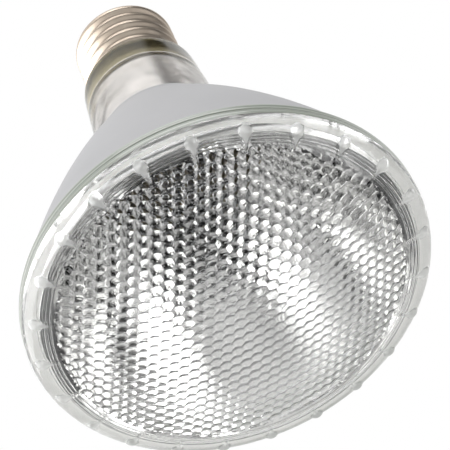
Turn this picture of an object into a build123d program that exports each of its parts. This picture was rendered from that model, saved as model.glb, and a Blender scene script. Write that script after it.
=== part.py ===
"""Reflector heat lamp: screw cap, pressed-glass reflector, halogen burner and a lens of hexagonal lenslets.

Millimetres. The lamp's axis is Z. The crown of the lens is at the origin, and the cap points up.
"""

import math
import os

from build123d import *

os.makedirs("parts", exist_ok=True)

# Lens: a pressed disc, domed outside, with lenslets on its inner face
rim_radius = 47.5
dome_radius = 140.0
shoulder_radius = 4.0
rim_wall_height = 0.5
lens_wall = 3.2
seat_width = 3.9
clear_ring_width = 2.6
hex_pitch = 2.72
lenslet_height = 0.45
field_margin = 0.3

# Teardrop lugs round the lens shoulder
lug_count = 24
knob_radius = 2.0
knob_proud = 0.75
knob_angle = 20.0
lug_reach = 5.4
tail_radius = 1.2
tail_depth = 0.6
tail_tip_radius = 0.15
tail_tip_sink = 0.2

# Sealant between lens and reflector
seal_thickness = 0.4
seal_setback = 0.5

# Reflector: flange, bowed cone, tapered neck and the spigot that the cap fits over
flange_height = 1.5
flange_width = 4.7
cone_step = 0.5
cone_height = 56.0
cone_bow = 1.9
neck_radius = 16.8
neck_ledge = 1.8
neck_height = 26.0
neck_wall = 3.0
neck_shoulder_radius = 1.6
junction_fillet = 1.2
rim_back_chamfer = 0.4
spigot_clearance = 0.45
spigot_height = 7.4
spigot_wall = 2.4
spigot_floor = 3.4
spigot_lead_in = 6.0

# Screw shell: thin sheet with a rolled thread
sheet = 0.4
thread_radius = 13.1
thread_depth = 1.05
thread_pitch = 3.63
thread_length = 15.8
crest_width = 0.9
root_width = 0.6
collar_height = 2.2
collar_step = 1.0
lip_height = 1.6
lip_reach = 1.85
lip_edge = 0.48

# Cap insulator, contact and solder
insulator_clearance = 0.1
insulator_skirt = 2.4
insulator_rise = 3.5
insulator_foot = 0.6
contact_radius = 5.3
contact_edge = 0.4
contact_crown = 0.5
contact_flat_radius = 2.9
solder_radius = 2.5
solder_height = 1.2

# Leads and ferrules in the cap
lead_radius = 0.35
lead_clearance = 0.6
lead_slant = 3.0
lead_bend = 1.0
ferrule_radius = 1.7
ferrule_wall = 0.4
ferrule_clearance = 0.05
ferrule_flange = 0.9
ferrule_proud = 0.6
ferrule_spacing = 10.0

# Burner: quartz bulb, pinch, foils, pins and coil
bulb_radius = 6.5
bulb_wall = 1.0
bulb_drop = 15.0
tip_radius = 1.3
tip_height = 1.6
pinch_width = 12.4
pinch_thickness = 3.6
pinch_height = 12.0
pinch_gap = 3.0
coil_radius = 1.0
coil_length = 8.5
filament_wire = 0.3
return_offset = 4.2
loop_drop = 1.8
hook_rise = 0.9
pin_spacing = 6.4
pin_radius = 0.5
foil_width = 2.4
foil_thickness = 0.12
foil_end = 2.0
leg_radius = 0.55
leg_bend = 0.8
weld_gap = 0.05
pin_share = 0.55
leg_share = 0.1
leg_stem_share = 0.2

# Heights and radii that follow from these
shoulder_x = rim_radius - shoulder_radius
shoulder_z = dome_radius - math.sqrt((dome_radius - shoulder_radius) ** 2 - shoulder_x**2)
dome_angle = math.degrees(math.asin(shoulder_x / (dome_radius - shoulder_radius)))
seat_z = shoulder_z + rim_wall_height
seat_inner = rim_radius - seat_width
field_radius = seat_inner - clear_ring_width
inner_radius = dome_radius - lens_wall
land_z = dome_radius - math.sqrt(inner_radius**2 - field_radius**2)

thread_root = thread_radius - thread_depth
shell_bore = thread_root - sheet
lip_radius = shell_bore - lip_reach
spigot_radius = shell_bore - spigot_clearance
neck_top_radius = thread_radius + neck_ledge

flange_z = seat_z + seal_thickness
cone_z = flange_z + flange_height
junction_z = cone_z + cone_height
cap_z = junction_z + neck_height
spigot_top = cap_z + spigot_height
floor_z = spigot_top - spigot_floor
spigot_bore = spigot_radius - spigot_wall
neck_bore = neck_radius - neck_wall
neck_top_bore = neck_top_radius - neck_wall
bore_step_z = cap_z - spigot_lead_in

mirror_radius = rim_radius - flange_width
four_focal = (mirror_radius**2 - neck_bore**2) / (junction_z - flange_z)
mirror_vertex_z = junction_z + neck_bore**2 / four_focal
focus_z = mirror_vertex_z - four_focal / 4

thread_z = cap_z + collar_height
thread_top = thread_z + thread_length
lip_z = thread_top + lip_height
insulator_bottom = thread_top - insulator_skirt
contact_z = lip_z + insulator_rise
contact_top = contact_z + contact_edge + contact_crown

ferrule_bottom = floor_z - ferrule_proud
ferrule_top = spigot_top + ferrule_wall
coil_bottom = focus_z - coil_length / 2
coil_top = focus_z + coil_length / 2
bulb_z = focus_z - bulb_drop
pinch_z = coil_top + pinch_gap
pinch_top = pinch_z + pinch_height
foil_bottom = pinch_z + foil_end
foil_top = pinch_top - foil_end
lap_height = ferrule_bottom - pinch_top
pin_top = pinch_top + pin_share * lap_height
leg_bottom = pinch_top + leg_share * lap_height
leg_knee = ferrule_bottom - leg_stem_share * lap_height
pin_x = pin_spacing / 2
leg_x = pin_x + pin_radius + leg_radius + weld_gap
ferrule_x = ferrule_spacing / 2


# One teardrop lug: a ball sunk in the shoulder, with a tail that narrows and runs into the dome
out_x = math.sin(math.radians(knob_angle))
out_z = -math.cos(math.radians(knob_angle))
knob_sink = shoulder_radius - knob_radius + knob_proud
knob_x = shoulder_x + knob_sink * out_x
knob_z = shoulder_z + knob_sink * out_z
tail_sink = shoulder_radius - tail_depth
tail_start = Vector(shoulder_x + tail_sink * out_x, 0, shoulder_z + tail_sink * out_z)
tip_x = knob_x - lug_reach
tip_z = dome_radius - math.sqrt((dome_radius - tail_tip_sink) ** 2 - tip_x**2)
tail_run = Vector(tip_x, 0, tip_z) - tail_start

with BuildPart() as lug:
    with Locations((knob_x, 0, knob_z)):
        Sphere(knob_radius)
    with Locations(Plane(tail_start, z_dir=tail_run)):
        Cone(tail_radius, tail_tip_radius, tail_run.length, align=(Align.CENTER, Align.CENTER, Align.MIN))

# Lens blank: the dome, the rounded shoulder and the lugs, hollowed down to a flat land inside the seat
# The turned faces have their seam between two lugs
with BuildPart() as lens_blank:
    with BuildSketch(Plane.XZ.rotated((0, 0, 180 / lug_count))):
        with BuildLine():
            dome = CenterArc((0, dome_radius), dome_radius, -90, dome_angle)
            shoulder = CenterArc((shoulder_x, shoulder_z), shoulder_radius, dome_angle - 90, 90 - dome_angle)
            Polyline(shoulder @ 1, (rim_radius, seat_z), (0, seat_z), dome @ 0)
        make_face()
    revolve(axis=Axis.Z)
    with PolarLocations(0, lug_count):
        add(lug.part)
    with BuildSketch(Plane.XY.offset(land_z)):
        Circle(seat_inner)
    extrude(amount=seat_z - land_z, mode=Mode.SUBTRACT)

# Lenslets: a honeycomb of shallow six-sided crowns that stand on the lens's inner sphere
corner_radius = hex_pitch / math.sqrt(3)
row_pitch = hex_pitch * math.sqrt(3) / 2
neighbours = [(1, 0), (0, 1), (-1, 1), (-1, 0), (0, -1), (1, -1)]


def inner_height(x, y):
    """Height of the lens's inner sphere over the point x, y."""
    return dome_radius - math.sqrt(inner_radius**2 - x**2 - y**2)


def corners_of(cell):
    """The six corners of a honeycomb cell, on the inner sphere, anticlockwise from -30 degrees."""
    x = hex_pitch * (cell[0] + cell[1] / 2)
    y = row_pitch * cell[1]
    corners = []
    for turn in range(6):
        angle = math.radians(60 * turn - 30)
        corner_x = x + corner_radius * math.cos(angle)
        corner_y = y + corner_radius * math.sin(angle)
        corners.append((corner_x, corner_y, inner_height(corner_x, corner_y)))
    return corners


reach = math.ceil(field_radius / row_pitch)
cells = {}
for column in range(-2 * reach, 2 * reach + 1):
    for row in range(-reach, reach + 1):
        centre_x = hex_pitch * (column + row / 2)
        if math.hypot(centre_x, row_pitch * row) + corner_radius < field_radius - field_margin:
            cells[column, row] = corners_of((column, row))

lens_faces = []
border = {}
for cell, corners in cells.items():
    crown_x = hex_pitch * (cell[0] + cell[1] / 2)
    crown_y = row_pitch * cell[1]
    crown = (crown_x, crown_y, inner_height(crown_x, crown_y) + lenslet_height)
    for turn, step in enumerate(neighbours):
        start = corners[turn]
        end = corners[(turn + 1) % 6]
        lens_faces.append(Face(Wire.make_polygon([start, end, crown])))
        if (cell[0] + step[0], cell[1] + step[1]) not in cells:
            key = (round(start[0], 4), round(start[1], 4))
            border[key] = (start, end)

# The zigzag edge of the honeycomb drops to the flat land by small upright walls
outline = []
key = next(iter(border))
while len(outline) < len(border):
    start, end = border[key]
    outline.append((start[0], start[1], land_z))
    lens_faces.append(Face(Wire.make_polygon([start, end, (*end[:2], land_z), (*start[:2], land_z)])))
    key = (round(end[0], 4), round(end[1], 4))
land = lens_blank.faces().filter_by(GeomType.PLANE).sort_by(SortBy.AREA)[-1]
lens_faces.append(Face(land.outer_wire(), [Wire.make_polygon(outline)]))
lens_faces.extend(face for face in lens_blank.faces() if face != land)

with BuildPart() as lens:
    add(Solid(Shell(lens_faces)))
lens.part.label = "lens"
export_step(lens.part, "parts/lens.step")

# Sealant ring on the lens's seat
with BuildPart() as lens_seal:
    with BuildSketch(Plane.XY.offset(seat_z)):
        Circle(rim_radius - seal_setback)
        Circle(seat_inner, mode=Mode.SUBTRACT)
    extrude(amount=seal_thickness)
lens_seal.part.label = "lens_seal"
export_step(lens_seal.part, "parts/lens_seal.step")

# Reflector: one pressed glass body, turned from its section
with BuildPart() as reflector:
    with BuildSketch(Plane.XZ):
        with BuildLine():
            Polyline(
                (mirror_radius, flange_z),
                (rim_radius, flange_z),
                (rim_radius, cone_z),
                (rim_radius - cone_step, cone_z),
            )
            SagittaArc((rim_radius - cone_step, cone_z), (neck_radius, junction_z), -cone_bow)
            Polyline(
                (neck_radius, junction_z),
                (neck_top_radius, cap_z),
                (spigot_radius, cap_z),
                (spigot_radius, spigot_top),
                (0, spigot_top),
                (0, floor_z),
                (spigot_bore, floor_z),
                (spigot_bore, cap_z),
                (neck_top_bore, bore_step_z),
                (neck_bore, junction_z),
            )
            Bezier(
                (neck_bore, junction_z),
                ((neck_bore + mirror_radius) / 2, mirror_vertex_z - neck_bore * mirror_radius / four_focal),
                (mirror_radius, flange_z),
            )
        make_face()
    revolve(axis=Axis.Z)
    with Locations((-ferrule_x, 0, spigot_top), (ferrule_x, 0, spigot_top)):
        Hole(ferrule_radius + ferrule_clearance, spigot_floor)
    circles = reflector.edges().filter_by(GeomType.CIRCLE)
    rim_back = circles.filter_by(lambda e: abs(e.radius - rim_radius) < 0.01).sort_by(Axis.Z)[-1]
    chamfer(rim_back, rim_back_chamfer)
    neck_shoulder = circles.filter_by(lambda e: abs(e.radius - neck_top_radius) < 0.01).sort_by(Axis.Z)[-1]
    fillet(neck_shoulder, neck_shoulder_radius)
    junction = circles.filter_by(lambda e: abs(e.radius - neck_radius) < 0.01).sort_by(Axis.Z)[-1]
    fillet(junction, junction_fillet)
reflector.part.label = "reflector"
export_step(reflector.part, "parts/reflector.step")

# Thread: one rounded-off groove wound up the shell, which leaves the crest as a helical land
groove_over = 0.3
groove_mouth = thread_pitch - crest_width
groove_slope = (groove_mouth - root_width) / 2 / thread_depth
groove_half = groove_mouth / 2 + groove_slope * groove_over
groove_z = thread_z + groove_half
with BuildPart() as groove:
    with BuildLine():
        helix = Helix(thread_pitch, thread_length, thread_root, center=(0, 0, groove_z))
    with BuildSketch(Plane.XZ):
        with Locations((thread_root, groove_z)):
            Polygon(
                (0, -root_width / 2),
                (thread_depth + groove_over, -groove_half),
                (thread_depth + groove_over, groove_half),
                (0, root_width / 2),
                align=None,
            )
    sweep(path=helix, is_frenet=True)

# Screw shell: collar, threaded wall and the lip that grips the insulator
with BuildPart() as screw_shell:
    with BuildSketch(Plane.XZ):
        with BuildLine():
            Polyline(
                (thread_radius, cap_z),
                (thread_radius, thread_top),
                (lip_radius, lip_z),
                (lip_radius, lip_z - lip_edge),
                (shell_bore, thread_top - sheet / 2),
                (shell_bore, thread_z - sheet / 2),
                (thread_radius - sheet, thread_z - collar_step - sheet / 2),
                (thread_radius - sheet, cap_z),
                close=True,
            )
        make_face()
    revolve(axis=Axis.Z)
    add(groove.part, mode=Mode.SUBTRACT)
screw_shell.part.label = "screw_shell"
export_step(screw_shell.part, "parts/screw_shell.step")

# Cap insulator: a black glass cone under the shell's lip
with BuildPart() as cap_insulator:
    with BuildSketch(Plane.XZ):
        with BuildLine():
            Polyline(
                (lead_radius + lead_clearance, insulator_bottom),
                (shell_bore - insulator_clearance, insulator_bottom),
                (shell_bore - insulator_clearance, thread_top - sheet / 2 - insulator_clearance),
                (lip_radius - insulator_clearance, lip_z - lip_edge - insulator_clearance),
                (lip_radius - insulator_clearance, lip_z),
                (contact_radius + insulator_foot, contact_z),
                (lead_radius + lead_clearance, contact_z),
                close=True,
            )
        make_face()
    revolve(axis=Axis.Z)
cap_insulator.part.label = "cap_insulator"
export_step(cap_insulator.part, "parts/cap_insulator.step")

# Centre contact: a pressed brass disc with a flat crown
with BuildPart() as centre_contact:
    with BuildSketch(Plane.XZ):
        with BuildLine():
            Polyline(
                (lead_radius, contact_top),
                (lead_radius, contact_z),
                (contact_radius, contact_z),
                (contact_radius, contact_z + contact_edge),
                (contact_flat_radius, contact_top),
                close=True,
            )
        make_face()
    revolve(axis=Axis.Z)
centre_contact.part.label = "centre_contact"
export_step(centre_contact.part, "parts/centre_contact.step")

# Solder blob on the contact: a spherical cap
solder_ball = (solder_radius**2 + solder_height**2) / (2 * solder_height)
solder_angle = math.degrees(math.asin(solder_radius / solder_ball))
solder_centre = contact_top + solder_height - solder_ball
with BuildPart() as contact_solder:
    with BuildSketch(Plane.XZ):
        with BuildLine():
            blob = CenterArc((0, solder_centre), solder_ball, 90 - solder_angle, solder_angle)
            Polyline(blob @ 1, (0, contact_top), blob @ 0)
        make_face()
    revolve(axis=Axis.Z)
contact_solder.part.label = "contact_solder"
export_step(contact_solder.part, "parts/contact_solder.step")

# Leads: the centre wire runs up to the contact, the side wire out and up the shell's wall
lead_start = ferrule_bottom + ferrule_wall
lead_turn = (ferrule_top + insulator_bottom) / 2
side_end_x = shell_bore - lead_radius - weld_gap
lead_routes = {
    "centre_lead": [
        (ferrule_x, 0, lead_start),
        (ferrule_x, 0, lead_turn - lead_slant / 2),
        (0, 0, lead_turn + lead_slant / 2),
        (0, 0, contact_top),
    ],
    "side_lead": [
        (-ferrule_x, 0, lead_start),
        (-ferrule_x, 0, lead_turn),
        (-side_end_x, 0, lead_turn + lead_slant / 2),
        (-side_end_x, 0, lead_turn + lead_slant),
    ],
}
for lead_name, route in lead_routes.items():
    with BuildPart() as lead:
        with BuildLine():
            lead_path = FilletPolyline(*route, radius=lead_bend)
        with BuildSketch(Plane(lead_path @ 0, z_dir=lead_path % 0)):
            Circle(lead_radius)
        sweep(path=lead_path)
    lead.part.label = lead_name
    export_step(lead.part, f"parts/{lead_name}.step")

# Filament: the coil's outline with one leg from each end
with BuildPart() as filament:
    with Locations((0, 0, coil_bottom)):
        Cylinder(coil_radius, coil_length, align=(Align.CENTER, Align.CENTER, Align.MIN))
    near_leg = [
        (0, 0, coil_top - coil_radius),
        (0, 0, coil_top + hook_rise),
        (pin_x, 0, pinch_z),
        (pin_x, 0, foil_bottom),
    ]
    far_leg = [
        (0, 0, coil_bottom + coil_radius),
        (0, 0, coil_bottom - loop_drop),
        (-return_offset, 0, coil_bottom - loop_drop / 2),
        (-return_offset, 0, coil_top),
        (-pin_x, 0, pinch_z),
        (-pin_x, 0, foil_bottom),
    ]
    for route in (near_leg, far_leg):
        with BuildLine():
            leg_path = Polyline(*route)
        with BuildSketch(Plane(leg_path @ 0, z_dir=leg_path % 0)):
            Circle(filament_wire)
        sweep(path=leg_path, transition=Transition.RIGHT)
filament.part.label = "filament"
export_step(filament.part, "parts/filament.step")

# Foils, pins, legs and ferrules, one of each on either side
sealed_in = [filament.part]
for side, side_name in ((-1, "left"), (1, "right")):
    with BuildPart() as foil:
        with Locations((side * pin_x, 0, foil_bottom)):
            Box(
                foil_width,
                foil_thickness,
                foil_top - foil_bottom,
                align=(Align.CENTER, Align.CENTER, Align.MIN),
            )
    foil.part.label = f"foil_{side_name}"
    export_step(foil.part, f"parts/foil_{side_name}.step")

    with BuildPart() as pin:
        with Locations((side * pin_x, 0, foil_top)):
            Cylinder(pin_radius, pin_top - foil_top, align=(Align.CENTER, Align.CENTER, Align.MIN))
    pin.part.label = f"pin_{side_name}"
    export_step(pin.part, f"parts/pin_{side_name}.step")
    sealed_in.extend([foil.part, pin.part])

    with BuildPart() as leg:
        with BuildLine():
            leg_path = FilletPolyline(
                (side * ferrule_x, 0, ferrule_bottom),
                (side * ferrule_x, 0, leg_knee),
                (side * leg_x, 0, pin_top),
                (side * leg_x, 0, leg_bottom),
                radius=leg_bend,
            )
        with BuildSketch(Plane(leg_path @ 0, z_dir=leg_path % 0)):
            Circle(leg_radius)
        sweep(path=leg_path)
    leg.part.label = f"leg_{side_name}"
    export_step(leg.part, f"parts/leg_{side_name}.step")

    ferrule_plane = Plane((side * ferrule_x, 0, 0), x_dir=(1, 0, 0), z_dir=(0, -1, 0))
    with BuildPart() as ferrule:
        with BuildSketch(ferrule_plane):
            with BuildLine():
                Polyline(
                    (0, ferrule_bottom),
                    (ferrule_radius, ferrule_bottom),
                    (ferrule_radius, spigot_top),
                    (ferrule_radius + ferrule_flange, spigot_top),
                    (ferrule_radius + ferrule_flange, ferrule_top),
                    (ferrule_radius - ferrule_wall, ferrule_top),
                    (ferrule_radius - ferrule_wall, lead_start),
                    (0, lead_start),
                    close=True,
                )
            make_face()
        revolve(axis=Axis(ferrule_plane.origin, ferrule_plane.y_dir))
    ferrule.part.label = f"ferrule_{side_name}"
    export_step(ferrule.part, f"parts/ferrule_{side_name}.step")

# Burner bulb: quartz blown round the coil and pinched flat over the foils
with BuildPart() as capsule:
    with BuildSketch(Plane.XZ):
        with BuildLine():
            crown = CenterArc((0, bulb_z + bulb_radius), bulb_radius, -90, 90)
            Polyline(
                crown @ 1,
                (bulb_radius, pinch_z - bulb_wall),
                (pinch_thickness / 2, pinch_z + bulb_wall),
                (0, pinch_z + bulb_wall),
                crown @ 0,
            )
        make_face()
    revolve(axis=Axis.Z)
    with Locations((0, 0, bulb_z - tip_height)):
        Cone(
            tip_radius / 2,
            tip_radius,
            tip_height + bulb_wall / 2,
            align=(Align.CENTER, Align.CENTER, Align.MIN),
        )
    with Locations((0, 0, pinch_z - bulb_wall)):
        Box(
            pinch_width,
            pinch_thickness,
            pinch_height + bulb_wall,
            align=(Align.CENTER, Align.CENTER, Align.MIN),
        )
    with BuildSketch(Plane.XZ):
        with BuildLine():
            hollow = CenterArc((0, bulb_z + bulb_radius), bulb_radius - bulb_wall, -90, 90)
            Polyline(
                hollow @ 1,
                (bulb_radius - bulb_wall, pinch_z - 2 * bulb_wall),
                (pinch_thickness / 2, pinch_z),
                (0, pinch_z),
                hollow @ 0,
            )
        make_face()
    revolve(axis=Axis.Z, mode=Mode.SUBTRACT)
    for piece in sealed_in:
        add(piece, mode=Mode.SUBTRACT)
capsule.part.label = "capsule"
export_step(capsule.part, "parts/capsule.step")
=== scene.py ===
import math

import bpy
import numpy as np
from mathutils import Matrix, Vector
from mathutils.geometry import delaunay_2d_cdt


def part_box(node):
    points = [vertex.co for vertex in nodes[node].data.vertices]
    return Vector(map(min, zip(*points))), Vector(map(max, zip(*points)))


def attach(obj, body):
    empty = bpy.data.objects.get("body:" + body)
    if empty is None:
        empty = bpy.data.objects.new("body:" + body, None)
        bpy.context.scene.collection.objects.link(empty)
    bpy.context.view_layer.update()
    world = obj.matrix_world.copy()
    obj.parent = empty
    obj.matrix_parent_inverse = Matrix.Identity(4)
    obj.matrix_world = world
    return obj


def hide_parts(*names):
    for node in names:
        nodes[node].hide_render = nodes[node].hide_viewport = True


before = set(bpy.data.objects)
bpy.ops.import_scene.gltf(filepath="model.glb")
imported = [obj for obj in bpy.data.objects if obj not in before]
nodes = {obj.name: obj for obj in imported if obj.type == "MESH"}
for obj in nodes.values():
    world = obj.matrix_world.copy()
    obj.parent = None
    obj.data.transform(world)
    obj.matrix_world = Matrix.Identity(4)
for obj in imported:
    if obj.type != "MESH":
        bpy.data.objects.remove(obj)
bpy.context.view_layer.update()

# Reflector: one body of pressed borosilicate glass, with the bowed cone and the neck in one.
# The cone is etched matt outside and the bowl and bore are aluminised inside.
# The flange at the rim and the neck stay clear, so the metal shows through the glass.
mm = 0.001
rim_radius = 47.5
mirror_radius = 42.8
cone_foot_radius = 47.0
cone_bow = 1.9
neck_radius = 16.8
neck_top_radius = 14.9
neck_bore = 13.8
neck_top_bore = 11.9
spigot_radius = 11.2
spigot_bore = 8.8
flange_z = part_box("reflector")[0].z / mm
spigot_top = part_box("reflector")[1].z / mm
cap_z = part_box("screw_shell")[0].z / mm
flange_height = 1.5
neck_height = 26.0
floor_thickness = 3.4
bore_step = 6.0
cone_z = flange_z + flange_height
junction_z = cap_z - neck_height
floor_z = spigot_top - floor_thickness


def line(start, end, steps):
    """A straight run of the section, from start to end."""
    share = np.linspace(0, 1, steps)[:, None]
    return np.array(start) * (1 - share) + np.array(end) * share


def bend(start, corner, end, steps):
    """A rounded corner: a curve that leaves start towards the corner and comes into end from it."""
    share = np.linspace(0, 1, steps)[:, None]
    start, corner, end = np.array(start), np.array(corner), np.array(end)
    return (1 - share) ** 2 * start + 2 * share * (1 - share) * corner + share**2 * end


def bowed(start, end, bow, steps):
    """A run that stands out from the straight line by bow times 4s(1 - s) at the share s of its length."""
    share = np.linspace(0, 1, steps)[:, None]
    run = np.array(end) - np.array(start)
    out = np.array([run[1], -run[0]]) / np.hypot(*run)
    return line(start, end, steps) + out * bow * 4 * share * (1 - share)


def paraboloid(first_radius, last_radius, steps):
    """The bowl's section: the height falls with the square of the radius, from the neck to the flange."""
    radius = np.linspace(first_radius, last_radius, steps)
    share = (last_radius**2 - radius**2) / (last_radius**2 - first_radius**2)
    return np.stack([radius, flange_z + (junction_z - flange_z) * share], 1)


def turned(section, angles):
    """The section's radius and height carried round the lamp's axis to each of the angles."""
    radius, height = section[:, :1], section[:, 1:]
    around = [radius * np.cos(angles), radius * np.sin(angles), height + 0 * angles]
    return np.stack(np.broadcast_arrays(*around), 2)


def skin(grid, ends=None):
    """Points and faces of a closed skin on a grid of points whose second index runs round a ring.
    The first index closes on itself, or each of its ends closes in a fan on one point of ends."""
    rows, ring = grid.shape[:2]
    index = np.arange(rows * ring).reshape(rows, ring)
    here, there = (index, np.roll(index, -1, 0)) if ends is None else (index[:-1], index[1:])
    quads = np.stack([here, np.roll(here, -1, 1), np.roll(there, -1, 1), there], 2).reshape(-1, 4)
    points, faces = grid.reshape(-1, 3), quads.tolist()
    if ends is not None:
        first, last = rows * ring + 0 * index[0], rows * ring + 1 + 0 * index[0]
        faces += np.stack([first, np.roll(index[0], -1), index[0]], 1).tolist()
        faces += np.stack([last, index[-1], np.roll(index[-1], -1)], 1).tolist()
        points = np.concatenate([points, np.array(ends, float)])
    return points, faces


def piece(name, points, faces, finishes, finish_of_face=None, crease=35):
    """A finished piece from points in millimetres. Its faces are turned outwards, by the sign of the volume
    that they close, and its edges are sharp where they turn by more than the crease angle."""
    corners = points[np.array([face[:3] for face in faces])]
    fourth = points[np.array([face[-1] for face in faces])]
    volume = np.einsum("ij,ij->", corners[:, 0], np.cross(corners[:, 1], corners[:, 2]))
    volume += np.einsum("ij,ij->", corners[:, 0], np.cross(corners[:, 2], fourth))
    if volume < 0:
        faces = [face[::-1] for face in faces]
    mesh = bpy.data.meshes.new(name)
    mesh.from_pydata((points * mm).tolist(), [], faces)
    for finish in finishes:
        mesh.materials.append(finish)
    if finish_of_face is not None:
        mesh.polygons.foreach_set("material_index", np.array(finish_of_face, np.int32))
    mesh.shade_smooth()
    mesh.set_sharp_from_angle(angle=math.radians(crease))
    made = bpy.data.objects.new(name, mesh)
    bpy.context.scene.collection.objects.link(made)
    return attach(made, "root")


def linear(colour):
    """An sRGB hex colour as the linear values that a shader takes."""
    value = np.array([int(colour[i : i + 2], 16) for i in (0, 2, 4)]) / 255
    value = np.where(value <= 0.04045, value / 12.92, ((value + 0.055) / 1.055) ** 2.4)
    return (*value.tolist(), 1.0)


def add(tree, kind, sockets, **settings):
    """Adds a node with its settings. A socket's value is a plain value or the output that is linked to it."""
    made = tree.nodes.new(kind)
    for setting, value in settings.items():
        setattr(made, setting, value)
    for socket, value in sockets.items():
        if isinstance(value, bpy.types.NodeSocket):
            tree.links.new(value, made.inputs[socket])
        else:
            made.inputs[socket].default_value = value
    return made


def blank(name):
    """A new material's empty node tree, with its output and the object's own coordinates."""
    made = bpy.data.materials.new(name)
    made.use_nodes = True
    made.node_tree.nodes.clear()
    output = add(made.node_tree, "ShaderNodeOutputMaterial", {})
    place = add(made.node_tree, "ShaderNodeTexCoord", {}).outputs["Object"]
    return made, made.node_tree, output, place


def per_metre(size):
    """A pattern's scale from the real size of its grain in millimetres."""
    return 1000 / size


# Pressed borosilicate glass, clear: water-white, faintly green through its thickness, with the slow
# waviness that a press tool leaves, so that what shows through the neck is uneven.
clear_glass, tree, output, place = blank("clear pressed borosilicate glass")
wave = add(tree, "ShaderNodeTexNoise", {"Vector": place, "Scale": per_metre(7.0), "Detail": 1.0})
ripple = add(
    tree, "ShaderNodeBump", {"Height": wave.outputs["Fac"], "Strength": 0.6, "Distance": 0.5 * mm}
)
haze = add(
    tree,
    "ShaderNodeMapRange",
    {"Value": wave.outputs["Fac"], "From Min": 0.3, "From Max": 0.7, "To Min": 0.0, "To Max": 0.03},
)
glass = add(
    tree,
    "ShaderNodeBsdfPrincipled",
    {
        "Base Color": linear("FDFDFD"),
        "Transmission Weight": 1.0,
        "IOR": 1.474,
        "Roughness": haze.outputs["Result"],
        "Normal": ripple.outputs["Normal"],
    },
)
tint = add(tree, "ShaderNodeVolumeAbsorption", {"Color": linear("C2CCC4"), "Density": 10.0})
tree.links.new(glass.outputs["BSDF"], output.inputs["Surface"])
tree.links.new(tint.outputs["Volume"], output.inputs["Volume"])

# Etched glass over aluminium: an even matt light grey with no image in it. Its grain of about 0.1 mm is
# drawn at 0.4 mm so that it shows.
etched_glass, tree, output, place = blank("etched glass over aluminium")
grain = add(tree, "ShaderNodeTexNoise", {"Vector": place, "Scale": per_metre(0.4), "Detail": 2.0})
cloud = add(tree, "ShaderNodeTexNoise", {"Vector": place, "Scale": per_metre(16.0), "Detail": 2.0})
stipple = add(
    tree, "ShaderNodeBump", {"Height": grain.outputs["Fac"], "Strength": 0.2, "Distance": 0.05 * mm}
)
grey = add(
    tree,
    "ShaderNodeMix",
    {0: cloud.outputs["Fac"], 6: linear("B6B6B8"), 7: linear("BFBFC1")},
    data_type="RGBA",
)
matt = add(
    tree,
    "ShaderNodeBsdfPrincipled",
    {"Base Color": grey.outputs[2], "Roughness": 0.55, "IOR": 1.474, "Normal": stipple.outputs["Normal"]},
)
tree.links.new(matt.outputs["BSDF"], output.inputs["Surface"])

# Vacuum-deposited aluminium on glass: a bright neutral mirror, with a faint haze in patches.
mirror, tree, output, place = blank("vacuum-deposited aluminium")
patch = add(tree, "ShaderNodeTexNoise", {"Vector": place, "Scale": per_metre(11.0), "Detail": 2.0})
dulled = add(
    tree,
    "ShaderNodeMapRange",
    {"Value": patch.outputs["Fac"], "From Min": 0.35, "From Max": 0.7, "To Min": 0.015, "To Max": 0.07},
)
shine = add(
    tree,
    "ShaderNodeBsdfPrincipled",
    {"Base Color": linear("EEEEED"), "Metallic": 1.0, "Roughness": dulled.outputs["Result"]},
)
tree.links.new(shine.outputs["BSDF"], output.inputs["Surface"])

# Aluminium in the neck: the vapour reaches it at a slant, so the film is thin, warm and slightly milky.
neck_film, tree, output, place = blank("thin aluminium film")
patch = add(tree, "ShaderNodeTexNoise", {"Vector": place, "Scale": per_metre(6.0), "Detail": 3.0})
warmth = add(
    tree,
    "ShaderNodeMix",
    {0: patch.outputs["Fac"], 6: linear("F0ECE9"), 7: linear("E2DDD9")},
    data_type="RGBA",
)
film = add(
    tree,
    "ShaderNodeBsdfPrincipled",
    {"Base Color": warmth.outputs[2], "Metallic": 1.0, "Roughness": 0.16},
)
tree.links.new(film.outputs["BSDF"], output.inputs["Surface"])

# Cured sealant, which wets the glass: nearly white where it lies thin inside, green-grey where it is thick
# at the rim, and slightly mottled.
thin_radius = 45.5
thick_radius = 46.6
sealant, tree, output, place = blank("cured sealant")
mottle = add(tree, "ShaderNodeTexNoise", {"Vector": place, "Scale": per_metre(1.5), "Detail": 3.0})
flat = add(tree, "ShaderNodeVectorMath", {0: place, 1: (1, 1, 0)}, operation="MULTIPLY")
from_axis = add(tree, "ShaderNodeVectorMath", {0: flat.outputs["Vector"]}, operation="LENGTH")
thick = add(
    tree,
    "ShaderNodeMapRange",
    {
        "Value": from_axis.outputs["Value"],
        "From Min": thin_radius * mm,
        "From Max": thick_radius * mm,
    },
)
thin_tone = add(
    tree,
    "ShaderNodeMix",
    {0: mottle.outputs["Fac"], 6: linear("F2F1EE"), 7: linear("FAF9F7")},
    data_type="RGBA",
)
thick_tone = add(
    tree,
    "ShaderNodeMix",
    {0: mottle.outputs["Fac"], 6: linear("A2A69F"), 7: linear("B6B9B2")},
    data_type="RGBA",
)
drab = add(
    tree,
    "ShaderNodeMix",
    {0: thick.outputs["Result"], 6: thin_tone.outputs[2], 7: thick_tone.outputs[2]},
    data_type="RGBA",
)
dull = add(tree, "ShaderNodeBsdfPrincipled", {"Base Color": drab.outputs[2], "Roughness": 0.6})
tree.links.new(dull.outputs["BSDF"], output.inputs["Surface"])

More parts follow.
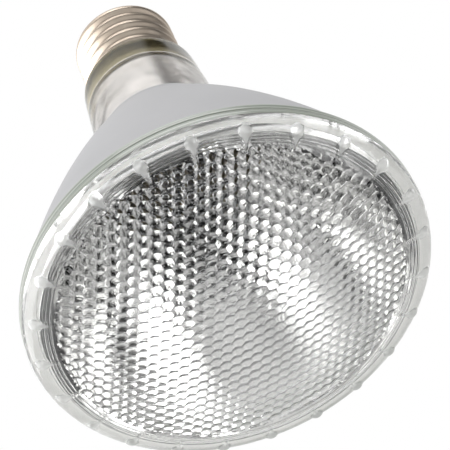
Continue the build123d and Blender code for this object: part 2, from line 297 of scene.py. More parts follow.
# Bare brass behind the glass: the spigot fits close inside the cap, so the cap's unplated inside shows
# through it as an olive gold.
brass_behind, tree, output, place = blank("bare brass behind glass")
stain = add(tree, "ShaderNodeTexNoise", {"Vector": place, "Scale": per_metre(1.8), "Detail": 4.0})
olive = add(
    tree,
    "ShaderNodeMix",
    {0: stain.outputs["Fac"], 6: linear("94896A"), 7: linear("C2B895")},
    data_type="RGBA",
)
gilt = add(
    tree,
    "ShaderNodeBsdfPrincipled",
    {"Base Color": olive.outputs[2], "Metallic": 0.4, "Roughness": 0.45},
)
tree.links.new(gilt.outputs["BSDF"], output.inputs["Surface"])

# Ground edge of the rim: the press line is ground away, which leaves the green-grey of thick glass in lines
# that run round it, polished again by handling. The lines of about 0.1 mm are drawn at 0.45 mm so that
# they show.
ground_edge, tree, output, place = blank("ground glass edge")
level = add(tree, "ShaderNodeSeparateXYZ", {"Vector": place})
score = add(
    tree,
    "ShaderNodeTexNoise",
    {"W": level.outputs["Z"], "Scale": per_metre(0.45), "Detail": 2.0},
    noise_dimensions="1D",
)
scored = add(
    tree, "ShaderNodeMapRange", {"Value": score.outputs["Fac"], "From Min": 0.35, "From Max": 0.65}
)
sage = add(
    tree,
    "ShaderNodeMix",
    {0: scored.outputs["Result"], 6: linear("838A80"), 7: linear("C3C8BF")},
    data_type="RGBA",
)
ground = add(
    tree,
    "ShaderNodeBsdfPrincipled",
    {
        "Base Color": sage.outputs[2],
        "Roughness": 0.4,
        "IOR": 1.474,
        "Coat Weight": 0.5,
        "Coat Roughness": 0.05,
    },
)
tree.links.new(ground.outputs["BSDF"], output.inputs["Surface"])

neck_taper = (neck_radius - neck_top_radius) / neck_height
shoulder_drop = 1.6
lip_round = 0.35
junction_round = 1.0
pole_radius = 0.5
gilt_drop = 1.0
gilt_inset = 0.2
clear, matt_grey, silver, sealed, gilded, edged, filmed = range(7)
neck_bottom = (neck_radius - neck_taper * junction_round, junction_z + junction_round)
cone_foot = (cone_foot_radius, cone_z)
cone_run = bowed(cone_foot, (neck_radius, junction_z), cone_bow, 49)[:-1]
section_runs = [
    (clear, line((pole_radius, spigot_top), (spigot_radius - lip_round, spigot_top), 3)),
    (clear, bend((spigot_radius - lip_round, spigot_top), (spigot_radius, spigot_top),
                 (spigot_radius, spigot_top - lip_round), 6)),
    (gilded, line((spigot_radius, spigot_top - gilt_drop), (spigot_radius, cap_z), 3)),
    (gilded, line((spigot_radius + gilt_inset, cap_z), (neck_top_radius - shoulder_drop, cap_z), 3)),
    (clear, bend((neck_top_radius - shoulder_drop, cap_z), (neck_top_radius, cap_z),
                 (neck_top_radius + neck_taper * shoulder_drop, cap_z - shoulder_drop), 12)),
    (clear, line((neck_top_radius + neck_taper * shoulder_drop, cap_z - shoulder_drop), neck_bottom, 8)),
    (matt_grey, bend(neck_bottom, (neck_radius, junction_z), cone_run[-1], 8)),
    (matt_grey, cone_run[::-1]),
    (edged, line(cone_foot, (rim_radius - lip_round, cone_z), 3)),
    (edged, bend((rim_radius - lip_round, cone_z), (rim_radius, cone_z),
                 (rim_radius, cone_z - lip_round), 6)),
    (edged, line((rim_radius, cone_z - lip_round), (rim_radius, flange_z + lip_round), 3)),
    (edged, bend((rim_radius, flange_z + lip_round), (rim_radius, flange_z),
                 (rim_radius - lip_round, flange_z), 6)),
    (sealed, line((rim_radius - lip_round, flange_z), (mirror_radius, flange_z), 4)),
    (silver, paraboloid(neck_bore, mirror_radius, 64)[::-1]),
    (filmed, line((neck_bore, junction_z), (neck_top_bore, cap_z - bore_step), 8)),
    (gilded, line((neck_top_bore, cap_z - bore_step), (spigot_bore, cap_z), 4)),
    (gilded, line((spigot_bore, cap_z), (spigot_bore, floor_z), 4)),
    (silver, line((spigot_bore, floor_z), (pole_radius, floor_z), 4)),
]
section = np.concatenate([run for _, run in section_runs])
run_finish = np.concatenate([np.full(len(run), finish) for finish, run in section_runs])
fresh = np.append(True, np.hypot(*np.diff(section, axis=0).T) > 1e-6)
section, run_finish = section[fresh], run_finish[fresh]
reflector_ring = np.linspace(0, 2 * np.pi, 256, endpoint=False)
points, faces = skin(turned(section, reflector_ring), [(0, 0, spigot_top), (0, 0, floor_z)])
ring_count = len(reflector_ring)
row_finish = np.repeat(run_finish[1:], ring_count)
end_finish = np.repeat([clear, silver], ring_count)
reflector = piece(
    "reflector_glass",
    points,
    faces,
    [clear_glass, etched_glass, mirror, sealant, brass_behind, ground_edge, neck_film],
    np.concatenate([row_finish, end_finish]),
)
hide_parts("reflector")

# Ferrules and contact disc: thimbles and a disc pressed from thin brass sheet.
# The ferrules are sealed into the neck's glass floor, and the disc closes the lamp's tip.


def metal(name, light, dark, roughness, spread, grain):
    """A metal whose tone and roughness drift in soft patches of the grain's size in millimetres."""
    made, tree, output, place = blank(name)
    patch = add(tree, "ShaderNodeTexNoise", {"Vector": place, "Scale": per_metre(grain), "Detail": 3.0})
    tone = add(
        tree,
        "ShaderNodeMix",
        {0: patch.outputs["Fac"], 6: linear(light), 7: linear(dark)},
        data_type="RGBA",
    )
    rough = add(
        tree,
        "ShaderNodeMapRange",
        {
            "Value": patch.outputs["Fac"],
            "From Min": 0.3,
            "From Max": 0.7,
            "To Min": roughness - spread,
            "To Max": roughness + spread,
        },
    )
    surface = add(
        tree,
        "ShaderNodeBsdfPrincipled",
        {"Base Color": tone.outputs[2], "Metallic": 1.0, "Roughness": rough.outputs["Result"]},
    )
    tree.links.new(surface.outputs["BSDF"], output.inputs["Surface"])
    return made


def dress(finish, slot, *names):
    """Gives CAD nodes that are shown as they are their material. The slot is not used."""
    for name in names:
        nodes[name].data.materials.clear()
        nodes[name].data.materials.append(finish)


# Pressed brass, left bare: yellow, a little dulled by handling.
brass = metal("pressed brass", "D8B873", "B8965A", 0.28, 0.08, 2.5)
dress(brass, "contact_brass", "ferrule_left", "ferrule_right", "centre_contact")

# Wires: drawn copper leads up in the cap, and stiff drawn nickel legs that carry the burner.
# The burner's outer pins and the foils in its pinch are molybdenum.
copper = metal("drawn copper wire", "D99A72", "A8673F", 0.3, 0.08, 0.8)
nickel_wire = metal("drawn nickel wire", "CFC8BC", "A79F94", 0.25, 0.06, 0.8)
molybdenum = metal("rolled molybdenum", "A9A9AB", "818184", 0.35, 0.08, 0.8)
dress(copper, "copper_wire", "centre_lead", "side_lead")
dress(nickel_wire, "nickel_wire", "leg_left", "leg_right")
dress(molybdenum, "molybdenum", "pin_left", "pin_right", "foil_left", "foil_right")

# Filament: tungsten wire wound into a close coil on the lamp's axis, with a straight leg up to one foil
# and a longer one that comes back past the coil to the other.
coil_radius = 0.82
coil_wire = 0.18
leg_wire = 0.28
leg_round = 0.6
coil_turns = 15
filament_lo, filament_hi = (np.array(corner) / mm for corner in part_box("filament"))
coil_length = 8.5
loop_drop = 1.8
hook_rise = 0.9
pinch_gap = 3.0
foil_x = 3.2
return_x = -4.2
coil_bottom = filament_lo[2] + loop_drop + leg_wire
coil_top = coil_bottom + coil_length


def tube(path, radius, sides, side_axis):
    """A round wire along a path: each point gets a ring of that radius, square to the path, whose first
    radius is square to side_axis too. A disc closes each end."""
    along = np.gradient(path, axis=0)
    along /= np.linalg.norm(along, axis=1)[:, None]
    across = np.cross(along, side_axis)
    across /= np.linalg.norm(across, axis=1)[:, None]
    beside = np.cross(along, across)
    turn = np.linspace(0, 2 * np.pi, sides, endpoint=False)[None, :, None]
    rings = path[:, None] + radius * (across[:, None] * np.cos(turn) + beside[:, None] * np.sin(turn))
    return skin(rings, [path[0], path[-1]])


def rounded_route(corners, cut, steps):
    """A wire's route through its corners, each of them rounded off from the distance cut before it."""
    corners = np.array(corners, float)
    runs = [corners[:1]]
    for before, corner, after in zip(corners, corners[1:], corners[2:]):
        come = (before - corner) / np.linalg.norm(before - corner)
        go = (after - corner) / np.linalg.norm(after - corner)
        runs.append(bend(corner + cut * come, corner, corner + cut * go, steps))
    return np.concatenate(runs + [corners[-1:]])


coil_angle = np.linspace(0, coil_turns * 2 * np.pi, coil_turns * 20 + 1)
coil_path = np.stack(
    [
        coil_radius * np.cos(coil_angle),
        coil_radius * np.sin(coil_angle),
        coil_bottom + coil_wire + (coil_length - 2 * coil_wire) * coil_angle / coil_angle[-1],
    ],
    1,
)
near_leg = [
    (coil_radius, 0, coil_top - coil_wire),
    (coil_radius, 0, coil_top + hook_rise),
    (foil_x, 0, coil_top + pinch_gap),
    (foil_x, 0, filament_hi[2]),
]
far_leg = [
    (coil_radius, 0, coil_bottom + coil_wire),
    (0, 0, coil_bottom - loop_drop),
    (return_x, 0, coil_bottom - loop_drop / 2),
    (return_x, 0, coil_top),
    (-foil_x, 0, coil_top + pinch_gap),
    (-foil_x, 0, filament_hi[2]),
]
wires = [
    tube(coil_path, coil_wire, 8, (0, 0, 1)),
    tube(rounded_route(near_leg, leg_round, 5), leg_wire, 10, (0, 1, 0)),
    tube(rounded_route(far_leg, leg_round, 5), leg_wire, 10, (0, 1, 0)),
]
starts = np.cumsum([0] + [len(points) for points, _ in wires])
faces = [[int(start) + i for i in face] for start, wire in zip(starts, wires) for face in wire[1]]
# Drawn tungsten: dark grey and half-bright.
tungsten = metal("drawn tungsten wire", "77777A", "55555A", 0.35, 0.08, 0.6)
points = np.concatenate([points for points, _ in wires])
filament = piece("filament_coil", points, faces, [tungsten], crease=60)
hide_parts("filament")

# Burner: a capsule blown from quartz tube, closed at its tip and pinched flat over the foils.
# Fused quartz is clear and bright, with a faint ripple from the flame.
quartz, tree, output, place = blank("flame-worked fused quartz")
flame = add(tree, "ShaderNodeTexNoise", {"Vector": place, "Scale": per_metre(3.0), "Detail": 1.0})
ripple = add(
    tree, "ShaderNodeBump", {"Height": flame.outputs["Fac"], "Strength": 0.3, "Distance": 0.05 * mm}
)
fused = add(
    tree,
    "ShaderNodeBsdfPrincipled",
    {
        "Base Color": linear("FAFBFC"),
        "Transmission Weight": 1.0,
        "IOR": 1.458,
        "Roughness": 0.01,
        "Normal": ripple.outputs["Normal"],
    },
)
tree.links.new(fused.outputs["BSDF"], output.inputs["Surface"])
dress(quartz, "quartz", "capsule")

# Seal: a thin ring of sealant that joins the lens's seat to the reflector's flange.
# It is squeezed out to a rounded edge, almost flush with the rim.
seat_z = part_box("lens")[1].z / mm
seat_inner = 43.6
seal_gap = 0.03
seal_outer = 47.4
seal_round = 0.15
round_start = 0.2
flat_end = 0.4
low, high = seat_z + seal_gap, flange_z - seal_gap
middle = (low + high) / 2
seal_section = np.concatenate(
    [
        line((seat_inner + seal_gap, high), (seat_inner + seal_gap, low), 3),
        line((seal_outer - flat_end, low), (seal_outer - round_start, low), 2),
        bend((seal_outer - seal_round, low), (seal_outer, low), (seal_outer, middle), 5),
        bend((seal_outer, middle), (seal_outer, high), (seal_outer - seal_round, high), 5)[1:],
        line((seal_outer - round_start, high), (seal_outer - flat_end, high), 2),
    ]
)
points, faces = skin(turned(seal_section, reflector_ring))
seal = piece("seal_ring", points, faces, [sealant])
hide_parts("lens_seal")

# Lens: one pressed disc of clear glass. Outside it is a shallow dome with a rounded shoulder and a ring of
# teardrop lugs. Inside, a honeycomb of small spherical lenslets fills a round field within a plain ring.
dome_radius = 140.0
lens_wall = 3.2
shoulder_radius = 4.0
field_radius = 40.2
lug_count = 24
knob_radius = 2.0
knob_proud = 0.75
knob_angle = math.radians(20)
tail_radius = 1.2
tail_depth = 0.6
tail_tip_radius = 0.15
tail_tip_sink = 0.2
lug_reach = 5.4
lug_blend = 0.15
hex_pitch = 2.72
lenslet_height = 0.37
crown_radius = 2.0
plain_radius = 36.0
tail_rows_radius = 36.6
shoulder_x = rim_radius - shoulder_radius
shoulder_z = dome_radius - math.sqrt((dome_radius - shoulder_radius) ** 2 - shoulder_x**2)
dome_angle = math.asin(shoulder_x / (dome_radius - shoulder_radius))
inner_radius = dome_radius - lens_wall
land_z = dome_radius - math.sqrt(inner_radius**2 - field_radius**2)


def lug_proud(spots, normals):
    """How far a lug lifts each spot of the lens along its normal. The lug is a ball in the shoulder and a
    row of shrinking balls along its tail, and a normal is lifted to the outermost ball that it meets."""
    out = np.array([math.sin(knob_angle), 0, -math.cos(knob_angle)])
    shoulder = np.array([shoulder_x, 0, shoulder_z])
    knob = shoulder + (shoulder_radius - knob_radius + knob_proud) * out
    tail = shoulder + (shoulder_radius - tail_depth) * out
    tip_x = knob[0] - lug_reach
    tip_z = dome_radius - math.sqrt((dome_radius - tail_tip_sink) ** 2 - tip_x**2)
    share = np.linspace(0, 1, 24)[:, None]
    centres = np.concatenate([[knob], tail * (1 - share) + np.array([tip_x, 0, tip_z]) * share])
    radii = np.append(knob_radius, tail_radius * (1 - share) + tail_tip_radius * share)
    offset = spots[None] - centres[:, None, None]
    along = np.sum(offset * normals[None], 3)
    room = along**2 - np.sum(offset**2, 3) + (radii**2)[:, None, None]
    lift = np.where(room > 0, np.sqrt(np.maximum(room, 0)) - along, -1).max(0)
    soft = np.clip(lift + lug_blend, 0, 2 * lug_blend) ** 2 / (4 * lug_blend)
    return np.where(lift > lug_blend, lift, soft)


def dome_section():
    """Radius, height and outward normal from near the crown, down the dome and round the shoulder."""
    plain = np.arcsin(np.linspace(crown_radius, plain_radius, 10) / dome_radius)
    under_tail = np.linspace(math.asin(tail_rows_radius / dome_radius), dome_angle, 22)
    turn = np.linspace(dome_angle, np.pi / 2, 24)[1:]
    angle = np.concatenate([plain, under_tail, turn])
    on_dome = (np.arange(len(angle)) < len(plain) + len(under_tail))[:, None]
    normal = np.stack([np.sin(angle), -np.cos(angle)], 1)
    dome = np.array([0, dome_radius]) + dome_radius * normal
    shoulder = np.array([shoulder_x, shoulder_z]) + shoulder_radius * normal
    return np.where(on_dome, dome, shoulder), normal


# The columns stand closer together over each lug
columns_per_lug = 28
bunching = 0.55
column = np.arange(lug_count * columns_per_lug) / columns_per_lug
ahead = column - np.round(column)
lug_turn = (ahead - bunching * np.sin(2 * np.pi * ahead) / (2 * np.pi)) * 2 * np.pi / lug_count
lens_ring = lug_turn + np.round(column) * 2 * np.pi / lug_count
front, front_normal = dome_section()
lift = lug_proud(turned(front, lug_turn), turned(front_normal, lug_turn))
front_grid = turned(front, lens_ring) + lift[..., None] * turned(front_normal, lens_ring)

# Inside, the seat at the rim, the step down from it and the plain ring with its three fine beads
edge_round = 0.15
bead_height = 0.25
beads = [(43.1, 42.5), (42.3, 41.8), (41.4, 40.9)]
bead_runs = [
    bend((outer, land_z), ((outer + inner) / 2, land_z + bead_height), (inner, land_z), 7)
    for outer, inner in beads
]
seat_edge = seat_inner + edge_round
inside = np.concatenate(
    [
        bend((rim_radius, seat_z - edge_round), (rim_radius, seat_z), (rim_radius - edge_round, seat_z), 5),
        bend((seat_edge, seat_z), (seat_inner, seat_z), (seat_inner, seat_z - edge_round), 5),
        bend((seat_inner, land_z + edge_round), (seat_inner, land_z), (seat_inner - edge_round, land_z), 5),
        *bead_runs,
        np.array([(field_radius, land_z)]),
    ]
)
lens_grid = np.concatenate([front_grid, turned(inside, lens_ring)])
ring_clearance = 0.12


def lenslet_field(steps):
    """The honeycomb's points and triangles within the field's ring, which comes first. The points lie on a
    lattice that cuts each cell's side into steps. A point's height over the inner sphere is that of a ball
    on the nearest cell's centre, which falls to nothing at the cell's corners."""
    corner = hex_pitch / math.sqrt(3)
    ball = (corner**2 + lenslet_height**2) / (2 * lenslet_height)
    reach = math.ceil(field_radius / corner * 2) * steps
    count = np.arange(-reach, reach)
    first, second = np.meshgrid(count, count)
    x = (hex_pitch / 2 * first / steps).ravel()
    y = (corner * (first / 2 + second) / steps).ravel()
    kept = np.hypot(x, y) < field_radius - ring_clearance
    x, y = x[kept], y[kept]
    row_pitch = hex_pitch * math.sqrt(3) / 2
    row = np.floor(y / row_pitch)[None] + np.array([[0], [1]])
    across = x[None] - row * hex_pitch / 2
    centre_x = np.round(across / hex_pitch) * hex_pitch + row * hex_pitch / 2
    from_centre = np.hypot(x[None] - centre_x, y[None] - row * row_pitch).min(0)
    crown = np.sqrt(ball**2 - np.minimum(from_centre, corner) ** 2) - math.sqrt(ball**2 - corner**2)
    sphere = dome_radius - np.sqrt(inner_radius**2 - x**2 - y**2)
    ring = turned(np.array([(field_radius, land_z)]), lens_ring)[0]
    field = np.concatenate([ring, np.stack([x, y, sphere + crown], 1)])
    flat = delaunay_2d_cdt(field[:, :2].tolist(), [], [], 0, 1e-9)
    came_from = np.array([sources[0] for sources in flat[3]])
    return field, came_from[np.array(flat[2])]


field, triangles = lenslet_field(4)
ring_count = len(lens_ring)
above = lens_grid[:-1].reshape(-1, 3)
rows = len(lens_grid)
index = np.arange(rows * ring_count).reshape(rows, ring_count)
here, there = index[:-1], index[1:]
quads = np.stack([here, np.roll(here, -1, 1), np.roll(there, -1, 1), there], 2).reshape(-1, 4)
points = np.concatenate([above, field, [(0, 0, 0)]])
crown_fan = np.stack([0 * index[0] + len(points) - 1, np.roll(index[0], -1), index[0]], 1)
faces = quads.tolist() + (triangles + len(above)).tolist() + crown_fan.tolist()

# Pressed clear glass: sharp and colourless face on, faintly grey where the eye looks along it. The lugs keep
# the tool's blasted finish, so they are milky, and the rim is a little hazy.
lens_glass, tree, output, place = blank("clear pressed lens glass")
frost = add(tree, "ShaderNodeAttribute", {}, attribute_name="frost")
wave = add(tree, "ShaderNodeTexNoise", {"Vector": place, "Scale": per_metre(9.0), "Detail": 1.0})
ripple = add(
    tree, "ShaderNodeBump", {"Height": wave.outputs["Fac"], "Strength": 0.2, "Distance": 0.03 * mm}
)
rough = add(
    tree,
    "ShaderNodeMapRange",
    {"Value": frost.outputs["Fac"], "From Min": 0.0, "From Max": 1.0, "To Min": 0.0, "To Max": 0.25},
)
glass = add(
    tree,
    "ShaderNodeBsdfPrincipled",
    {
        "Base Color": linear("FDFDFD"),
        "Transmission Weight": 1.0,
        "IOR": 1.474,
        "Roughness": rough.outputs["Result"],
        "Normal": ripple.outputs["Normal"],
    },
)
milk = add(tree, "ShaderNodeBsdfPrincipled", {"Base Color": linear("E9EAE8"), "Roughness": 0.5})
cover = add(tree, "ShaderNodeMath", {0: frost.outputs["Fac"], 1: 0.5}, operation="MULTIPLY")
lugs_milky = add(
    tree, "ShaderNodeMixShader", {0: cover.outputs[0], 1: glass.outputs[0], 2: milk.outputs[0]}
)
tint = add(tree, "ShaderNodeVolumeAbsorption", {"Color": linear("CBCDCC"), "Density": 6.0})
# The lamps' light passes straight through the rim and the plain ring, so the sealant behind them is lit
lit_radius = 38.0
path = add(tree, "ShaderNodeLightPath", {})
flat = add(tree, "ShaderNodeVectorMath", {0: place, 1: (1, 1, 0)}, operation="MULTIPLY")
from_axis = add(tree, "ShaderNodeVectorMath", {0: flat.outputs["Vector"]}, operation="LENGTH")
at_rim = add(
    tree, "ShaderNodeMath", {0: from_axis.outputs["Value"], 1: lit_radius * mm}, operation="GREATER_THAN"
)
passing = add(
    tree, "ShaderNodeMath", {0: path.outputs["Is Shadow Ray"], 1: at_rim.outputs[0]}, operation="MULTIPLY"
)
thin_air = add(tree, "ShaderNodeBsdfTransparent", {"Color": linear("F4F5F3")})
rim_lit = add(
    tree,
    "ShaderNodeMixShader",
    {0: passing.outputs[0], 1: lugs_milky.outputs[0], 2: thin_air.outputs[0]},
)
tree.links.new(rim_lit.outputs["Shader"], output.inputs["Surface"])
tree.links.new(tint.outputs["Volume"], output.inputs["Volume"])

# The lens's wall and the last of its shoulder are ground with the flange
ground_shoulder_rows = 5
ground_wall_rows = 4
row = np.repeat(np.arange(rows - 1), ring_count)
ground_row = (row >= len(front) - ground_shoulder_rows) & (row < len(front) + ground_wall_rows)
lens_finish = np.concatenate([ground_row, np.zeros(len(faces) - len(quads))])
lens = piece("lens_glass", points, faces, [lens_glass, ground_edge], lens_finish, crease=22)

# How milky each point is: wholly on the lugs, less on the skirt of their tails, a little on the rim
milky_lift = 0.25
skirt_lift = 0.12
skirt_radius = 43.4
haze_from, haze_width = 43.0, 1.5
shoulder_haze = 0.25
inside_haze = 0.2
front_radius = front[:, :1]
skirt = skirt_lift * np.clip(skirt_radius - front_radius, 0, 1)
lug_frost = np.clip((lift - skirt) / milky_lift, 0, 1)
shoulder_frost = shoulder_haze * np.clip((front_radius - haze_from) / haze_width, 0, 1)
frosted = np.zeros(len(points), np.float32)
frosted[: lift.size] = np.maximum(lug_frost, shoulder_frost).ravel()
frosted[lift.size : len(above)] = inside_haze
lens.data.attributes.new("frost", "FLOAT", "POINT").data.foreach_set("value", frosted)
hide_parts("lens")

# Screw shell: thin brass sheet drawn to a cup, with the thread rolled in, and nickel-plated.
# Its lower edge stands on the neck's shoulder, and its lip is turned in over the insulator.
crest_radius = 13.1
thread_depth = 1.05
thread_pitch = 3.63
sheet = 0.4
groove_z = cap_z + 3.869
thread_start = cap_z + 1.0
thread_stop = cap_z + 17.6
shell_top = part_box("screw_shell")[1].z / mm
lip_radius = 9.8
edge_lift = 0.03
run_up = 1.3
lip_edge = 0.2
lip_bend = 10.6
turn_in = (12.0, thread_stop + 1.5)
turn_z = thread_stop + 1.2
inner_turn_in = (11.7, thread_stop + 1.3)
inner_turn_z = thread_stop + 0.9


def threaded(section, angles):
    """The shell's section carried round, with the thread pressed into it. The groove is half a cosine wave
    deep, it climbs by the pitch in each turn, and it runs out smoothly at both ends of the thread."""
    radius, height = section[:, :1], section[:, 1:]
    rise = np.clip((height - thread_start) / run_up, 0, 1) * np.clip((thread_stop - height) / run_up, 0, 1)
    rise = rise * rise * (3 - 2 * rise)
    phase = 2 * np.pi * (height - groove_z) / thread_pitch - angles
    pressed = radius - rise * thread_depth * (1 + np.cos(phase)) / 2
    return np.stack([pressed * np.cos(angles), pressed * np.sin(angles), height + 0 * angles], 2)


shell_bottom = cap_z + edge_lift
inner_crest = crest_radius - sheet
edge = sheet / 2
foot_z = shell_bottom + edge
lip_start = (lip_radius + lip_edge, shell_top)
lip_under = shell_top - sheet
shell_section = np.concatenate(
    [
        bend((crest_radius - edge, shell_bottom), (crest_radius, shell_bottom), (crest_radius, foot_z), 4),
        line((crest_radius, foot_z), (crest_radius, thread_stop), 90)[1:],
        bend((crest_radius, thread_stop), (crest_radius, turn_z), turn_in, 7)[1:],
        bend(turn_in, (lip_bend, shell_top), lip_start, 6)[1:],
        bend(lip_start, (lip_radius, shell_top), (lip_radius, shell_top - edge), 4)[1:],
        bend((lip_radius, lip_under), (lip_bend, lip_under), inner_turn_in, 5),
        bend(inner_turn_in, (inner_crest, inner_turn_z), (inner_crest, thread_stop), 5)[1:],
        line((inner_crest, thread_stop), (inner_crest, foot_z), 64)[1:],
        bend((inner_crest, foot_z), (inner_crest, shell_bottom), (inner_crest + edge, shell_bottom), 4)[1:-1],
    ]
)
shell_ring = np.linspace(0, 2 * np.pi, 160, endpoint=False)
points, faces = skin(threaded(shell_section, shell_ring))
# Nickel plate on rolled brass: warm grey and half-bright, a little uneven where the rollers pressed it.
nickel = metal("nickel plate on rolled brass", "C8BCAE", "B3A596", 0.42, 0.06, 3.0)
shell = piece("threaded_shell", points, faces, [nickel], crease=50)
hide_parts("screw_shell")

# Insulator: a cone of black glass pressed into the shell's end, under the turned-in lip.
# Black glass: nearly black, glossy, with faint swirls.
black_glass, tree, output, place = blank("pressed black glass")
swirl = add(
    tree,
    "ShaderNodeTexNoise",
    {"Vector": place, "Scale": per_metre(4.0), "Detail": 3.0, "Distortion": 1.5},
)
ink = add(
    tree,
    "ShaderNodeMix",
    {0: swirl.outputs["Fac"], 6: linear("121216"), 7: linear("2A2A30")},
    data_type="RGBA",
)
gloss = add(
    tree, "ShaderNodeBsdfPrincipled", {"Base Color": ink.outputs[2], "Roughness": 0.12, "IOR": 1.52}
)
tree.links.new(gloss.outputs["BSDF"], output.inputs["Surface"])
dress(black_glass, "black_glass", "cap_insulator")

# Solder: a blob of tin alloy that joins the centre wire to the contact disc.
# It froze bright, with dull patches.
tin = metal("frozen tin solder", "C9C9C6", "A2A29F", 0.3, 0.12, 1.2)
dress(tin, "solder", "contact_solder")

# Camera: a long lens that looks up at the lamp's face from below its rim, as the photograph does.
picture_right = Vector((-0.8582, -0.4391, -0.2659))
picture_up = Vector((-0.5054, 0.6323, 0.5871))
picture_back = picture_right.cross(picture_up)
camera_place = Vector((-48.04, 307.03, -336.82)) * mm
camera_data = bpy.data.cameras.new("camera")
camera_data.sensor_width = 36
camera_data.lens = 166.56
camera = bpy.data.objects.new("camera", camera_data)
turn = Matrix((picture_right, picture_up, picture_back)).transposed().to_4x4()
camera.matrix_world = Matrix.Translation(camera_place) @ turn
bpy.context.scene.collection.objects.link(camera)
bpy.context.scene.camera = camera

# Floor: a plain pale sheet under the lamp, which fades into the white round it. Only its upper side shows,
# so the camera can look up past it.
floor_size = 3.0
floor_gap = 0.2
fade_from, fade_to = 120, 700
floor_mesh = bpy.data.meshes.new("floor")
floor_corners = np.array([(-1, -1, 0), (1, -1, 0), (1, 1, 0), (-1, 1, 0)]) * floor_size / 2
floor_mesh.from_pydata((floor_corners - (0, 0, floor_gap * mm)).tolist(), [], [(0, 1, 2, 3)])
floor = bpy.data.objects.new("floor", floor_mesh)
bpy.context.scene.collection.objects.link(floor)
paper, tree, output, place = blank("pale floor paper")
path = add(tree, "ShaderNodeLightPath", {})
side = add(tree, "ShaderNodeNewGeometry", {})
shown = add(
    tree,
    "ShaderNodeMath",
    {0: path.outputs["Is Camera Ray"], 1: side.outputs["Backfacing"]},
    operation="SUBTRACT",
)
sheet_white = add(tree, "ShaderNodeBsdfDiffuse", {"Color": linear("F6F6F5")})
from_lamp = add(tree, "ShaderNodeVectorMath", {0: place}, operation="LENGTH")
faint = add(
    tree,
    "ShaderNodeMapRange",
    {"Value": from_lamp.outputs["Value"], "From Min": fade_from * mm, "From Max": fade_to * mm},
    interpolation_type="SMOOTHSTEP",
)
into_white = add(tree, "ShaderNodeEmission", {"Color": linear("FFFFFF"), "Strength": 1.0})
sheet_fading = add(
    tree,
    "ShaderNodeMixShader",
    {0: faint.outputs["Result"], 1: sheet_white.outputs[0], 2: into_white.outputs[0]},
)
open_side = add(tree, "ShaderNodeBsdfTransparent", {})
floor_face = add(
    tree, "ShaderNodeMixShader", {0: shown.outputs[0], 1: open_side.outputs[0], 2: sheet_fading.outputs[0]}
)
tree.links.new(floor_face.outputs["Shader"], output.inputs["Surface"])
floor_mesh.materials.append(paper)

# Studio: white all round for the eye, the metal and the glass, and a softer white for the light on matt
# surfaces.
world = bpy.data.worlds.new("white studio")
world.use_nodes = True
bpy.context.scene.world = world
tree = world.node_tree
tree.nodes.clear()
path = add(tree, "ShaderNodeLightPath", {})
seen = add(
    tree,
    "ShaderNodeMath",
    {0: path.outputs["Is Camera Ray"], 1: path.outputs["Is Glossy Ray"]},
    operation="MAXIMUM",
)
seen_through = add(
    tree,
    "ShaderNodeMath",
    {0: seen.outputs[0], 1: path.outputs["Is Transmission Ray"]},
    operation="MAXIMUM",
)
studio = add(
    tree,
    "ShaderNodeMix",
    {0: seen_through.outputs[0], 6: linear("BCBCBC"), 7: linear("FFFFFF")},
    data_type="RGBA",
)
background = add(tree, "ShaderNodeBackground", {"Color": studio.outputs[2], "Strength": 1.0})
add(tree, "ShaderNodeOutputWorld", {"Surface": background.outputs["Background"]})

lamp_middle = Vector((0, 0, 55)) * mm


def in_studio(tilt, turn, reach):
    """The matrix of a panel that faces the lamp from a distance, its reach. Its place is given by the degrees
    from the line of sight and the degrees round it from the photograph's right, and its sides run round the
    line of sight and away from it."""
    tilt, turn = math.radians(tilt), math.radians(turn)
    outward = math.cos(turn) * picture_right + math.sin(turn) * picture_up
    across = math.cos(turn) * picture_up - math.sin(turn) * picture_right
    to_panel = math.cos(tilt) * picture_back + math.sin(tilt) * outward
    sides = Matrix((across, to_panel.cross(across), to_panel)).transposed().to_4x4()
    return Matrix.Translation(lamp_middle + reach * to_panel) @ sides


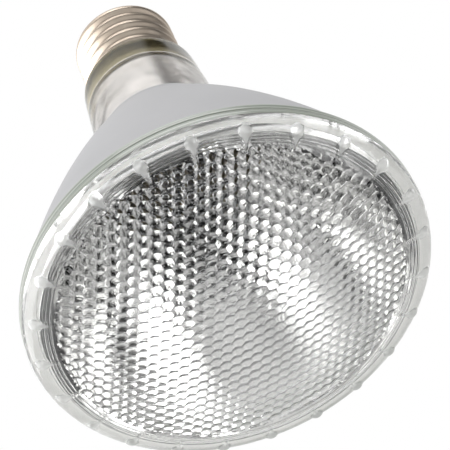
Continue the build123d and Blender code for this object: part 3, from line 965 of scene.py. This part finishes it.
# Soft boxes: a large one along the photograph's left, one over the lamp and a small one on the right. A
# bright sheet behind the left one only shows in glass and metal, so that the matt cone keeps its grey.
for name, tilt, turn, reach, width, height, radiance, lights_matt in [
    ("left soft box", 77.5, 203.5, 1.2, 1.74, 2.4, 0.8, True),
    ("left bright sheet", 77.5, 203.5, 1.25, 1.81, 2.5, 2.9, False),
    ("upper soft box", 93, 107, 1.2, 1.12, 0.57, 3.5, True),
    ("right soft box", 62, 338, 1.2, 0.55, 0.46, 3.4, True),
]:
    box_data = bpy.data.lights.new(name, "AREA")
    box_data.shape = "RECTANGLE"
    box_data.size = width
    box_data.size_y = height
    box_data.energy = radiance * math.pi * width * height
    soft_box = bpy.data.objects.new(name, box_data)
    soft_box.matrix_world = in_studio(tilt, turn, reach)
    soft_box.visible_camera = False
    soft_box.visible_diffuse = lights_matt
    bpy.context.scene.collection.objects.link(soft_box)

# Dark cards behind the soft boxes: what the bright metal and the glass mirror, the unlit side of the room.
# Each fades away over a border all round.
card_reach = 2.0
card_border = 0.3
card_finish, tree, output, place = blank("black card")
cover = add(tree, "ShaderNodeAttribute", {}, attribute_name="cover")
black = add(tree, "ShaderNodeBsdfDiffuse", {"Color": linear("1C1B1A")})
open_air = add(tree, "ShaderNodeBsdfTransparent", {})
faded = add(
    tree, "ShaderNodeMixShader", {0: cover.outputs["Fac"], 1: open_air.outputs[0], 2: black.outputs[0]}
)
tree.links.new(faded.outputs["Shader"], output.inputs["Surface"])
square = np.array([(-1, -1, 0), (1, -1, 0), (1, 1, 0), (-1, 1, 0)]) / 2
for name, tilt, turn, width, height in [
    ("camera card", 11, 18, 0.33, 2.8),
    ("camera right card", 20, 338, 0.58, 0.58),
    ("lower card", 44, 263, 4.2, 1.65),
    ("lower right card", 70, 314, 0.87, 0.62),
    ("right card", 88, 34, 2.9, 1.27),
    ("upper right card", 90, 70, 1.6, 3.4),
    ("upper card", 64, 126, 2.85, 1.9),
]:
    border = min(card_border, width / 2, height / 2)
    solid_part = square * (width - border, height - border, 1)
    whole = square * (width + border, height + border, 1)
    corners = np.concatenate([solid_part, whole])
    facing = in_studio(tilt, turn, card_reach)
    card_mesh = bpy.data.meshes.new(name)
    card_mesh.from_pydata(
        [facing @ Vector(corner) for corner in corners],
        [],
        [(0, 1, 2, 3), (4, 5, 1, 0), (5, 6, 2, 1), (6, 7, 3, 2), (7, 4, 0, 3)],
    )
    card_mesh.attributes.new("cover", "FLOAT", "POINT").data.foreach_set("value", [1.0] * 4 + [0.0] * 4)
    card_mesh.materials.append(card_finish)
    card = bpy.data.objects.new(name, card_mesh)
    card.visible_camera = False
    card.visible_diffuse = False
    card.visible_shadow = False
    bpy.context.scene.collection.objects.link(card)

bpy.context.scene.view_settings.view_transform = "Standard"
